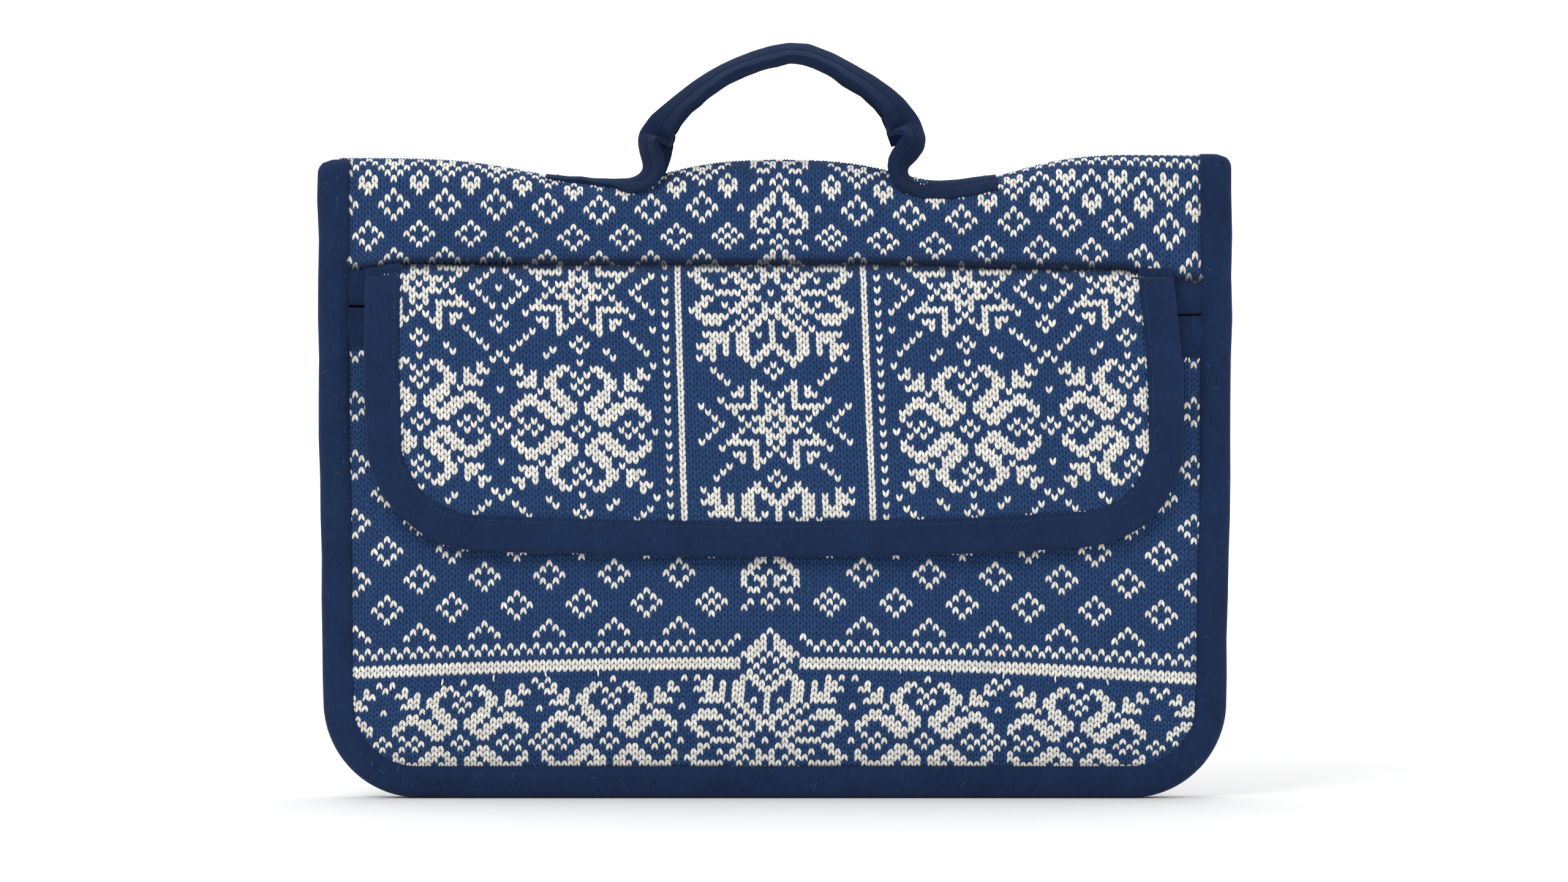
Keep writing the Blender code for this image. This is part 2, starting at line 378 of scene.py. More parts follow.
def hood_edge(x):
    """The height of the hood's lower edge, which falls away at the right."""
    fall = 2 * MM * smooth((x - 30 * MM) / (120 * MM)) + 5.5 * MM * smooth((x - 150 * MM) / (22 * MM))
    return HOOD_Z + 1.2 * MM - fall - 2.5 * MM * smooth((-x - 160 * MM) / (20 * MM))


def pull_hood(x, v):
    """The hood's rows run downhill to the right, and its stitches are wider there."""
    slide = 0.068 * 14 * MM * np.logaddexp(0, (x - 8 * MM) / (14 * MM))
    away = np.abs(x)
    sag = 2.2 * MM * smooth((120 * MM - away) / (30 * MM)) - 1.1 * MM * smooth((70 * MM - away) / (40 * MM))
    return x + 1.9 * MM + np.where(x < 0, 0.008, 0.021) * x, v - slide - 1.4 * MM - sag


def pull_front(x, z):
    """The front's rows hang down towards both ends, and the middle of the border lies to the left."""
    low = 1 - smooth((z - 25 * MM) / (40 * MM))
    sag = np.where(x < 0, 0.14, 0.22) * x * x * smooth((z + 10 * MM) / (60 * MM))
    new_x = x * np.where(x < 0, 1.018, 1.04) - (2.1 + 2.2 * low) * MM
    return new_x, z + (0.5 + low) * MM - sag


def pull_flap(x, z):
    """The flap's rows curve up towards both ends, and its columns lean to the left at the top."""
    shift = (-1.4 * MM + FLAP_LEAN * (212 * MM - z)) + 0.008 * x * (188 * MM - z) / (50 * MM)
    rise = 2 * MM * smooth((np.abs(x) - 35 * MM) / (25 * MM)) + 0.2 * x * x
    return x + shift, z - 0.9 * MM + rise


def wrap_surface(x, v, inset=0.0):
    """The hood, the fold and the back: v is the length of cloth from the hood's lower edge."""
    edge = hood_edge(x) + CURL
    flat = HOOD_FLAT
    radius = wall_depth(x, np.full_like(x, WRAP_FLAT_Z)) - inset
    rise = crest(x) - inset - radius - WRAP_FLAT_Z
    whole = 2 * rise + math.pi * radius
    nominal = FOLD_LENGTH
    share = np.clip((v - flat) / nominal, 0, 1)
    even = nominal - math.pi * inset
    along = share * even + (whole - even) * share**2
    turn = np.clip((along - rise) / radius, 0, math.pi)
    back_z = WRAP_FLAT_Z - (v - flat - nominal)
    hood_z = edge + (WRAP_FLAT_Z - edge) * np.clip(v / flat, 0, 1)
    z_fold = np.where(
        turn <= 0,
        WRAP_FLAT_Z + along,
        np.where(turn >= math.pi, WRAP_FLAT_Z + whole - along, WRAP_FLAT_Z + rise + radius * np.sin(turn)),
    )
    z = np.where(v <= flat, hood_z, np.where(v >= flat + nominal, back_z, z_fold))
    y_fold = -radius * np.cos(turn)
    depth = wall_depth(x, z) - inset
    y = np.where(v <= flat, -depth, np.where(v >= flat + nominal, depth, y_fold))
    y = y - 1.3 * MM * np.exp(-((v / (6 * MM)) ** 2))
    curled = np.clip(-v / CURL, 0, 2.2)
    y = y + np.where(v < 0, CURL * (1 - np.cos(curled)), 0)
    z = np.where(v < 0, edge - CURL * np.sin(curled), z)
    return np.stack([x, y, z], -1)


def tilt(x):
    """The hood's edge, the mouth and the flap's top run a little downhill, to the right."""
    return -TILT * x / HALF_WIDTH


FLAP_HALF_WIDTH = FLAP_HIGH.x
FLAP_BINDING_WIDTH = 15.2 * MM
FLAP_CORNER_RADIUS = 45 * MM
FLAP_FRONT = -FLAP_LOW.y - 0.6 * MM
FLAP_BACK = -FLAP_HIGH.y + 0.4 * MM
FLAP_SHOULDER = 15 * MM


def flap_top(x):
    """The flap starts just behind the hood's lower edge."""
    return np.maximum(hood_edge(x) + 2 * MM, 231.2 * MM)


def flap_bottom(x):
    """The flap's lower edge hangs lowest in the middle."""
    return FLAP_LOW.z + 6.5 * MM * (np.abs(x + 10 * MM) / FLAP_HALF_WIDTH) ** 2


def lean(x, z):
    """The flap's outline leans with its columns, and is a little narrower at the top."""
    narrow = 1 - 0.011 * smooth((z - 185 * MM) / (45 * MM))
    return x * narrow - 2.4 * MM + FLAP_LEAN * (232 * MM - z)


def flap_edge_distance(x, z):
    x = x + x - lean(x, z)
    return rounded_distance(FLAP_HALF_WIDTH - np.abs(x), z - flap_bottom(x), FLAP_CORNER_RADIUS)


def flap_depth(x, z):
    """How far in front of the bag's middle the flap's face is: it swells out from under the hood's edge."""
    below = flap_top(x) - z
    shoulder = (1 - (1 - np.clip(below / FLAP_SHOULDER, 0, 1)) ** 2) ** 0.9
    hem = smooth((flap_edge_distance(x, z) - FLAP_BINDING_WIDTH + 2 * MM) / (12 * MM))
    full = FLAP_FRONT + 0.8 * MM * hem + 0.5 * ripple(x + 0.1, z)
    start = HALF_DEPTH - 2.4 * MM
    return start + (full - start) * shoulder - 1.2 * MM * (1 - hem)


def flap_surface(x, z):
    return np.stack([x, -flap_depth(x, z), z], -1)


# Meshes


def linked(name, data):
    """An object made from its data and put in the scene."""
    obj = bpy.data.objects.new(name, data)
    bpy.context.scene.collection.objects.link(obj)
    return obj


def grid_object(name, points, keep=None):
    """A mesh from a grid of points (rows, columns, 3), with the quads that keep marks."""
    rows, columns = points.shape[:2]
    index = np.arange(rows * columns).reshape(rows, columns)
    quads = np.stack([index[:-1, :-1], index[:-1, 1:], index[1:, 1:], index[1:, :-1]], -1)
    if keep is not None:
        quads = quads[keep]
    quads = quads.reshape(-1, 4)
    used, quads = np.unique(quads, return_inverse=True)
    quads = quads.reshape(-1, 4)
    mesh = bpy.data.meshes.new(name)
    vertices = points.reshape(-1, 3)[used].astype(np.float32)
    mesh.vertices.add(len(vertices))
    mesh.vertices.foreach_set("co", vertices.ravel())
    mesh.loops.add(quads.size)
    mesh.loops.foreach_set("vertex_index", quads.ravel().astype(np.int32))
    mesh.polygons.add(len(quads))
    mesh.polygons.foreach_set("loop_start", (np.arange(len(quads)) * 4).astype(np.int32))
    mesh.update(calc_edges=True)
    mesh.shade_smooth()
    return linked(name, mesh), used


def cell_middles(values):
    return (values[:-1, :-1] + values[1:, 1:]) / 2


def normals_of(surface, x, v):
    step = 0.4 * MM
    dx = surface(x + step, v) - surface(x - step, v)
    dv = surface(x, v + step) - surface(x, v - step)
    normal = np.cross(dx, dv)
    return normal / np.maximum(np.linalg.norm(normal, axis=-1, keepdims=True), 1e-12)


def knit(
    name, chart, surface, wale, course, start, point_up,
    across_leg=3, inside=None, pull=None, crease_shade=None,
):
    """A knitted panel: every stitch is two slanting legs, raised from the surface.

    surface(x, v) gives a point, v is measured from start, and point_up says whether the stitches' points are
    at their top, as they are where the cloth is used upside down. inside(x, v) says where there is cloth, and
    pull(x, v) where the handling of the cloth has moved each stitch to, and crease_shade(x, v) how much
    painted shade it gets in a fold or along a seam."""
    legs = 4
    columns = chart.white.shape[1] * legs + 1
    rows = chart.rows * across_leg + 1
    u = np.arange(columns) / legs
    w = np.arange(rows) / across_leg
    leg_share = np.arange(columns) % 2
    in_wale = np.abs(((np.arange(columns) % legs) / legs) * 2 - 1)
    slant = (0.31 - in_wale * 0.62) * (1 if point_up else -1)
    u_grid, w_grid = np.meshgrid(u, w)
    x = (u_grid - chart.white.shape[1] / 2) * wale
    v = start + (w_grid + slant[None, :]) * course
    if pull is not None:
        x, v = pull(x, v)
    ridge = np.where(leg_share == 1, 1.0, np.where(in_wale > 0.5, 0.0, 0.3))[None, :]
    across = np.sin(math.pi * (w_grid % 1)) ** 0.8
    height = RELIEF * (0.12 + 0.88 * across) * (0.15 + 0.85 * ridge)
    stretch = RNG.normal(0, 0.035, (chart.rows + 1, columns))
    wander = np.repeat(stretch, across_leg, 0)[:rows] * wale
    base = surface(x + wander, v)
    normal = normals_of(surface, x, v)
    points = base + normal * height[..., None]
    keep = None
    if inside is not None:
        keep = inside(cell_middles(x), cell_middles(v))
    obj, used = grid_object(name, points, keep)
    white = np.repeat(np.repeat(chart.white, across_leg, 0), legs, 1)
    tone = RNG.normal(0, 1, (chart.rows, chart.white.shape[1] * 2))
    tone = np.repeat(np.repeat(tone, across_leg, 0), 2, 1)
    if keep is not None:
        white, tone = white[keep], tone[keep]
    add_attribute(obj, "white_yarn", "FACE", white.ravel())
    add_attribute(obj, "tone", "FACE", tone.ravel())
    if crease_shade is not None:
        add_attribute(obj, "crease_shade", "POINT", crease_shade(x, v).ravel()[used])
    add_attribute(obj, "wale_at", "POINT", u_grid.ravel()[used])
    add_attribute(obj, "row_at", "POINT", w_grid.ravel()[used])
    leaning = np.where((np.arange(columns - 1) % legs) < 2, 1.0, -1.0) * (1 if point_up else -1)
    leaning = np.broadcast_to(leaning[None, :], (rows - 1, columns - 1))
    add_attribute(obj, "lean", "FACE", (leaning[keep] if keep is not None else leaning).ravel())
    return obj


def add_attribute(obj, name, domain, values):
    made = obj.data.attributes.new(name, "FLOAT", domain)
    made.data.foreach_set("value", np.ascontiguousarray(values, np.float32))


def thicken(obj, thickness, offset=0.0, even=True):
    solid = obj.modifiers.new("thickness", "SOLIDIFY")
    solid.thickness = thickness
    solid.offset = offset
    solid.use_even_offset = even


def finish_with(obj, material, slot, body, *nodes):
    obj.data.materials.append(material)
    if body:
        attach(obj, body)
    if nodes:
        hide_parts(*nodes)
    return obj


# Materials


class Nodes:
    """A small helper that adds and joins shader nodes."""

    def __init__(self, name):
        self.material = bpy.data.materials.new(name)
        self.material.use_nodes = True
        self.tree = self.material.node_tree
        self.shader = self.tree.nodes["Principled BSDF"]
        self.place = self.add("ShaderNodeTexCoord").outputs["Object"]

    def add(self, kind, inputs=None, **settings):
        node = self.tree.nodes.new(kind)
        for key, value in settings.items():
            setattr(node, key, value)
        for key, value in (inputs or {}).items():
            self.set(node.inputs[key], value)
        return node

    def set(self, socket, value):
        if isinstance(value, bpy.types.NodeSocket):
            self.tree.links.new(value, socket)
        else:
            socket.default_value = value

    def noise(self, scale, detail=3.0, vector=None, roughness=0.6):
        node = self.add("ShaderNodeTexNoise", {"Scale": scale, "Detail": detail, "Roughness": roughness})
        self.set(node.inputs["Vector"], vector or self.place)
        return node.outputs["Fac"]

    def wave(self, scale, direction):
        inputs = {"Scale": scale, "Vector": self.place}
        return self.add("ShaderNodeTexWave", inputs, bands_direction=direction).outputs["Fac"]

    def stretched(self, scale):
        return self.add("ShaderNodeMapping", {"Vector": self.place, "Scale": scale}).outputs["Vector"]

    def math(self, operation, a, b=0.0):
        node = self.add("ShaderNodeMath", operation=operation)
        self.set(node.inputs[0], a)
        self.set(node.inputs[1], b)
        return node.outputs[0]

    def times(self, a, b):
        return self.math("MULTIPLY", a, b)

    def plus(self, a, b):
        return self.math("ADD", a, b)

    def from_middle(self, value):
        """How far a value's fraction is from one half: 0 in the middle and 1 at both ends."""
        off_middle = self.math("SUBTRACT", self.math("FRACT", value), 0.5)
        return self.times(self.math("ABSOLUTE", off_middle), 2.0)

    def remap(self, value, low, high, to_low, to_high):
        node = self.add("ShaderNodeMapRange", {"Value": value, "From Min": low, "From Max": high})
        self.set(node.inputs["To Min"], to_low)
        self.set(node.inputs["To Max"], to_high)
        return node.outputs[0]

    def mix(self, share, a, b, blend="MIX"):
        node = self.add("ShaderNodeMix", data_type="RGBA", blend_type=blend)
        self.set(node.inputs[0], share)
        self.set(node.inputs[6], a)
        self.set(node.inputs[7], b)
        return node.outputs[2]

    def scale_color(self, color, amount):
        grey = self.add("ShaderNodeCombineColor", {"Red": amount, "Green": amount, "Blue": amount}).outputs[0]
        return self.mix(1.0, color, grey, "MULTIPLY")

    def attribute(self, name):
        return self.add("ShaderNodeAttribute", attribute_name=name).outputs["Fac"]

    def bump(self, height, distance, strength=1.0):
        node = self.add("ShaderNodeBump", {"Height": height, "Distance": distance, "Strength": strength})
        self.set(self.shader.inputs["Normal"], node.outputs[0])

    def surface(self, color, roughness, sheen=0.0, sheen_roughness=0.5, sheen_tint=(1, 1, 1, 1)):
        self.set(self.shader.inputs["Base Color"], color)
        self.set(self.shader.inputs["Roughness"], roughness)
        self.shader.inputs["Specular IOR Level"].default_value = 0.2
        self.shader.inputs["Sheen Weight"].default_value = sheen
        self.shader.inputs["Sheen Roughness"].default_value = sheen_roughness
        self.shader.inputs["Sheen Tint"].default_value = sheen_tint
        return self.material


BLUE_YARN = (0.0125, 0.040, 0.122, 1)
BLUE_YARN_LIGHT = (0.029, 0.084, 0.232, 1)
WHITE_YARN = (0.88, 0.865, 0.82, 1)
WHITE_YARN_WARM = (0.86, 0.83, 0.76, 1)
# The colour of painted shade, mixed into the yarn in the gaps between stitches and in folds and along seams.
PAINTED_SHADE = (0.004, 0.011, 0.034, 1)
NAVY_FELT = (0.0042, 0.0145, 0.050, 1)
NAVY_FELT_LIGHT = (0.0100, 0.0285, 0.086, 1)
# The handle's felt is a darker copy of the navy felt: painted shade that holds down the light falling on the
# handle's top.
SHADED_HANDLE_FELT = (0.0022, 0.0099, 0.037, 1)
SHADED_HANDLE_FELT_LIGHT = (0.0053, 0.0195, 0.0635, 1)


def yarn_material():
    """Each stitch's two legs are told apart by their place across the wale and along the row. The gaps
    between legs and rows, and the folds and seams, are darkened with painted shade.
    """
    nodes = Nodes("two_yarns")
    leg = nodes.times(nodes.attribute("wale_at"), 2.0)
    row = nodes.attribute("row_at")
    ragged = nodes.times(nodes.math("SUBTRACT", nodes.noise(1500, 2), 0.5), 0.35)
    across = nodes.from_middle(leg)
    along = nodes.from_middle(row)
    edge = nodes.plus(nodes.math("POWER", across, 2.6), nodes.math("POWER", along, 4.0))
    edge = nodes.plus(edge, ragged)
    plump = nodes.remap(edge, 0.0, 1.15, 1.0, 0.0)
    # Painted shade: the yarn darkens towards the gaps between the legs and between the rows.
    crevice_shade = nodes.remap(edge, 0.46, 1.15, 0.0, 0.94)
    slope = nodes.times(nodes.attribute("lean"), nodes.times(row, 2.2))
    strand = nodes.add("ShaderNodeCombineXYZ", {"X": nodes.plus(nodes.times(leg, 3.4), slope)})
    nodes.set(strand.inputs["Y"], nodes.times(row, 0.9))
    fibres = nodes.noise(1.6, 4, strand.outputs[0], 0.7)
    white = nodes.attribute("white_yarn")
    cloud = nodes.noise(40, 2)
    blue = nodes.mix(nodes.remap(fibres, 0.35, 0.7, 0, 1), BLUE_YARN, BLUE_YARN_LIGHT)
    cream = nodes.mix(nodes.remap(cloud, 0.35, 0.65, 0, 1), WHITE_YARN, WHITE_YARN_WARM)
    color = nodes.mix(white, blue, cream)
    tone = nodes.remap(nodes.attribute("tone"), -2, 2, 0.86, 1.12)
    color = nodes.scale_color(color, nodes.times(tone, nodes.remap(fibres, 0.3, 0.7, 0.9, 1.05)))
    color = nodes.mix(crevice_shade, color, PAINTED_SHADE)
    # Painted shade in folds and along seams, where each panel marks it.
    color = nodes.mix(nodes.attribute("crease_shade"), color, PAINTED_SHADE)
    fuzz = nodes.noise(3200, 2)
    height = nodes.plus(nodes.times(plump, 0.75), nodes.times(fibres, 0.2))
    height = nodes.plus(height, nodes.times(fuzz, 0.08))
    nodes.bump(height, 0.55 * MM, 0.8)
    return nodes.surface(color, 0.85, 0.15, 0.4)


def felt_material(name="navy_felt", dark=NAVY_FELT, light=NAVY_FELT_LIGHT):
    nodes = Nodes(name)
    fibres = nodes.noise(1900, 5, roughness=0.75)
    hairs = nodes.noise(900, 4, nodes.stretched((1.0, 1.0, 0.28)), 0.7)
    cloud = nodes.noise(55, 3)
    share = nodes.plus(nodes.times(fibres, 0.45), nodes.times(hairs, 0.55))
    color = nodes.mix(nodes.remap(share, 0.38, 0.72, 0, 1), dark, light)
    color = nodes.scale_color(color, nodes.remap(cloud, 0.3, 0.7, 0.85, 1.15))
    nodes.bump(share, 0.35 * MM, 0.6)
    return nodes.surface(color, 0.95, 0.06, 0.5, (0.55, 0.68, 1.0, 1))


def lining_material():
    nodes = Nodes("lining_cotton")
    weave = nodes.times(nodes.wave(900.0, "X"), nodes.wave(900.0, "Z"))
    color = nodes.mix(nodes.noise(300, 3), (0.010, 0.016, 0.04, 1), (0.022, 0.034, 0.075, 1))
    nodes.bump(weave, 0.15 * MM, 0.5)
    return nodes.surface(color, 0.8, 0.1)


def wadding_material():
    nodes = Nodes("foam_wadding")
    pores = nodes.noise(1200, 4)
    color = nodes.mix(pores, (0.62, 0.61, 0.57, 1), (0.85, 0.84, 0.80, 1))
    nodes.bump(pores, 0.3 * MM, 0.5)
    return nodes.surface(color, 0.95)


def fastener_material(name, scale):
    nodes = Nodes(name)
    loops = nodes.add("ShaderNodeTexVoronoi", {"Scale": scale, "Vector": nodes.place}).outputs["Distance"]
    color = nodes.mix(loops, (0.008, 0.012, 0.03, 1), (0.03, 0.04, 0.08, 1))
    nodes.bump(loops, 0.4 * MM, 0.8)
    return nodes.surface(color, 0.75)


def thread_material():
    nodes = Nodes("sewing_thread")
    twist = nodes.wave(1400.0, "DIAGONAL")
    color = nodes.mix(twist, (0.008, 0.022, 0.065, 1), (0.022, 0.05, 0.125, 1))
    nodes.bump(twist, 0.08 * MM, 0.5)
    return nodes.surface(color, 0.6, 0.1)


# The walls


# The knitting goes on under the edge binding, up to this distance from the bag's outline.
COVERED = 9.5 * MM


def fade(distance, reach):
    """One at a seam, falling off with the distance from it."""
    return np.exp(-np.maximum(distance, 0) / reach)


def seam_shade(distance):
    """The shade along the edge binding, at a distance from the bag's outline."""
    return 0.55 * fade(distance - BINDING_WIDTH - 0.4 * MM, 1.1 * MM)


# Painted shade on the front's knit where it dips into the ditch beside the edge binding.
def front_painted_shade(x, z):
    return seam_shade(edge_distance(x, z))


# Painted shade on the hood's knit beside the edge binding and along its curled lower edge.
def hood_painted_shade(x, v):
    return np.maximum(seam_shade(HALF_WIDTH - np.abs(x)), 0.9 * fade(v - 0.3 * MM, 1.5 * MM))


# Painted shade on the flap's knit beside its binding and at its top, in the shadow under the hood's edge.
def flap_painted_shade(x, z):
    seam = 0.55 * fade(flap_edge_distance(x, z) - FLAP_BINDING_WIDTH, 0.9 * MM)
    return np.maximum(seam, 0.9 * fade(flap_top(x) - 2.3 * MM - z, 0.8 * MM))


def make_knitted_walls(yarn):
    half_columns = int(HALF_WIDTH / WALE) + 1
    front_start = 2.3 * MM
    front_rows = round((LIP_LOW.z + 9 * MM - front_start) / FRONT_COURSE)
    front = knit(
        "front_panel_knit", wall_chart(half_columns, front_rows), front_surface, WALE, FRONT_COURSE,
        front_start, True, inside=lambda x, z: edge_distance(x, z) > COVERED, pull=pull_front,
        crease_shade=front_painted_shade,
    )
    finish_with(front, yarn, "knit", "bag", "knit_front_panel")
    split_row = 34
    hood = knit(
        "hood_knit", hood_chart(half_columns, split_row), wrap_surface, WALE, HOOD_COURSE, 0, True,
        inside=lambda x, v: (HALF_WIDTH - np.abs(x) > COVERED) & (v > -3 * MM), pull=pull_hood,
        crease_shade=hood_painted_shade,
    )
    finish_with(hood, yarn, "knit", "bag", "knit_back_and_hood")
    back_start = split_row * HOOD_COURSE
    back_rows = int((WRAP_LENGTH + 8 * MM - back_start) / FRONT_COURSE)
    back_chart = wall_chart(half_columns, back_rows)
    back_chart.white = back_chart.white[::-1]

    def on_back(x, v):
        z = wrap_surface(x, v)[..., 2]
        return edge_distance(x, z) > COVERED

    back = knit(
        "back_panel_knit", back_chart, wrap_surface, WALE, FRONT_COURSE, back_start, True,
        across_leg=2, inside=on_back, pull=pull_hood,
    )
    finish_with(back, yarn, "knit", "bag")


def plain_sheet(name, surface, x, v, inside=None):
    x_grid, v_grid = np.meshgrid(x, v)
    keep = None
    if inside is not None:
        keep = inside(cell_middles(x_grid), cell_middles(v_grid))
    return grid_object(name, surface(x_grid, v_grid), keep)[0]


def make_linings_and_padding(lining, wadding):
    x = np.linspace(-HALF_WIDTH + 4 * MM, HALF_WIDTH - 4 * MM, 120)
    z = np.linspace(4 * MM, LIP_HIGH.z - 3 * MM, 64)
    v = np.linspace(2 * MM, WRAP_LENGTH - 4 * MM, 110)
    for name, slot, material, inset, thickness in (
        ("lining", "lining", lining, 5.9 * MM, 0.7 * MM),
        ("padding", "wadding", wadding, 3.4 * MM, 2.4 * MM),
    ):
        front = plain_sheet(
            f"front_panel_{name}", lambda a, b: front_surface(a, b) + (0, inset, 0), x, z,
            lambda a, b: edge_distance(a, b) > 4 * MM,
        )
        thicken(front, thickness)
        finish_with(front, material, slot, "bag", f"{name}_front_panel")
        wrap = plain_sheet(
            f"back_and_hood_{name}", lambda a, b: wrap_surface(a, b, inset), x, v,
            lambda a, b: edge_distance(a, wrap_surface(a, b)[..., 2]) > 4 * MM,
        )
        thicken(wrap, thickness)
        finish_with(wrap, material, slot, "bag", f"{name}_back_and_hood")


# The bindings


def u_path(half_width, radius, bottom, top, step):
    """Points and outward directions along a U, down the left side and up the right, evenly spaced."""
    straight = top - bottom - radius
    across = 2 * (half_width - radius)
    corner = math.pi / 2 * radius
    total = 2 * straight + across + 2 * corner
    along = np.linspace(0, total, int(total / step))
    left_end, bottom_start, bottom_end, right_start = np.cumsum([straight, corner, across, corner])
    turn = (np.clip(along - left_end, 0, corner) + np.clip(along - bottom_end, 0, corner)) / radius
    outward = np.stack([-np.cos(turn), -np.sin(turn)], -1)
    x = -half_width + radius + np.clip(along - bottom_start, 0, across)
    z = top - np.clip(along, 0, straight) + np.maximum(along - right_start, 0)
    return np.stack([x, z], -1) + radius * outward, outward


def folded_band(width, depth, thickness, round_radius, bulge):
    """The section of a strip folded over an edge, as (inset, y) pairs round its thickness."""
    arc = np.linspace(0, math.pi / 2, 7)
    flange = np.linspace(width, round_radius, 9)
    swell = bulge * np.sin(np.linspace(0, math.pi, 9)) ** 0.7
    front = [(i, -(depth + b)) for i, b in zip(flange, swell)]
    corner = [
        (round_radius - round_radius * math.sin(a), -(depth - round_radius + round_radius * math.cos(a)))
        for a in arc
    ]
    outer = front + corner[1:]
    outer += [(i, -y) for i, y in reversed(outer)]
    inner = [
        (
            i + thickness if i < width / 2 else i,
            np.sign(y) * (abs(y) - thickness) if i > round_radius / 2 else y,
        )
        for i, y in outer
    ]
    lip = (width + thickness * 0.35, -(depth - thickness / 2))
    end = (width + thickness * 0.35, depth - thickness / 2)
    return np.array(outer + [end] + inner[::-1] + [lip])


def band_points(places, outward, section, wander, end_radius=6 * MM):
    """A strip swept along a path, which it leaves by wander. Its two ends are rounded off."""
    steps = np.linalg.norm(np.diff(places, axis=0), axis=1)
    along = np.concatenate([[0], np.cumsum(steps)])
    to_end = np.clip(np.minimum(along, along[-1] - along) / end_radius, 0, 1)
    rounding = (1 - np.sqrt(1 - (1 - to_end) ** 2))[:, None]
    inset = section[:, 0][None, :]
    near_edge = np.clip(1 - inset / (30 * MM), 0, 1)
    inset = inset - wander[:, None] * near_edge + rounding * end_radius * np.clip(1 - inset / (12 * MM), 0, 1)
    x = places[:, :1] - outward[:, :1] * inset
    z = places[:, 1:] - outward[:, 1:] * inset
    y = section[:, 1][None, :] * (1 - 0.45 * rounding)
    return np.stack([x, y, z], -1)


def slow_noise(count, spacing, size):
    """A smooth random line: one value for each station."""
    knots = RNG.normal(0, 1, max(int(count / spacing) + 3, 4))
    return np.interp(np.linspace(0, len(knots) - 1, count), np.arange(len(knots)), knots) * size


def swept(name, points):
    """A closed tube from a grid of points (stations, section), with both ends filled."""
    loop = np.concatenate([points, points[:, :1]], 1)
    obj = grid_object(name, loop)[0]
    shape = bmesh.new()
    shape.from_mesh(obj.data)
    bmesh.ops.remove_doubles(shape, verts=shape.verts, dist=1e-6)
    bmesh.ops.holes_fill(shape, edges=shape.edges)
    bmesh.ops.recalc_face_normals(shape, faces=shape.faces)
    shape.to_mesh(obj.data)
    shape.free()
    obj.data.shade_smooth()
    return obj


def make_edge_binding(felt):
    places, outward = u_path(HALF_WIDTH, CORNER_RADIUS, 0, BINDING_HIGH.z + 1.2 * MM, 1.5 * MM)
    height = places[:, 1] / BINDING_HIGH.z
    places[:, 1] += np.where(places[:, 0] > 0, 2.4, 0) * MM * smooth((height - 0.6) / 0.4)
    places[:, 0] *= 1 - 0.017 * np.clip(1 - height / 0.75, 0, 1) ** 1.3
    section = folded_band(BINDING_WIDTH, BINDING_HIGH.y - 0.4 * MM, 1.6 * MM, 5.5 * MM, 0.9 * MM)
    wander = slow_noise(len(places), 12, 0.25 * MM)
    wander[places[:, 1] < 12 * MM] *= 0.2
    points = band_points(places, outward, section, np.minimum(wander, 0.4 * MM))
    # On the left the strip's two ends overlap along a slanting line, and the upper one lies on top.
    join = points[..., 2] - 188.5 * MM - (points[..., 0] + 191.7 * MM) * 0.8
    near_join = (join > 0) & (join < 40 * MM) & (points[..., 0] < 0)
    overlap = 0.6 * MM * np.where(near_join, np.exp(-join / (9 * MM)), 0)
    points[..., 1] -= np.where(points[..., 1] < -4 * MM, overlap, 0)
    binding = swept("edge_binding_felt", points)
    finish_with(binding, felt, "navy_wool", "bag", "edge_binding")


def make_flap_binding(felt):
    top = FLAP_HIGH.z - FLAP_LOW.z + 1 * MM
    places, outward = u_path(FLAP_HALF_WIDTH, FLAP_CORNER_RADIUS, 0, top, 1.5 * MM)
    half = (FLAP_FRONT - FLAP_BACK) / 2
    section = folded_band(FLAP_BINDING_WIDTH, half, 1.3 * MM, 2.6 * MM, 0.5 * MM)
    wander = slow_noise(len(places), 12, 0.2 * MM)
    points = band_points(places, outward, section, wander, 3 * MM)
    x, y, z = points[..., 0], points[..., 1], points[..., 2]
    z = z + flap_bottom(x)
    z = np.minimum(z, flap_top(x) - 2.6 * MM + 0.02 * (z - FLAP_LOW.z))
    x = lean(x, z)
    front = flap_depth(x, z) + 0.9 * MM
    share = (half - y) / (2 * half)
    points = np.stack([x, -(FLAP_BACK + (front - FLAP_BACK) * share), z], -1)
    binding = swept("flap_binding_felt", points)
    finish_with(binding, felt, "navy_wool", "flap", "flap_binding")


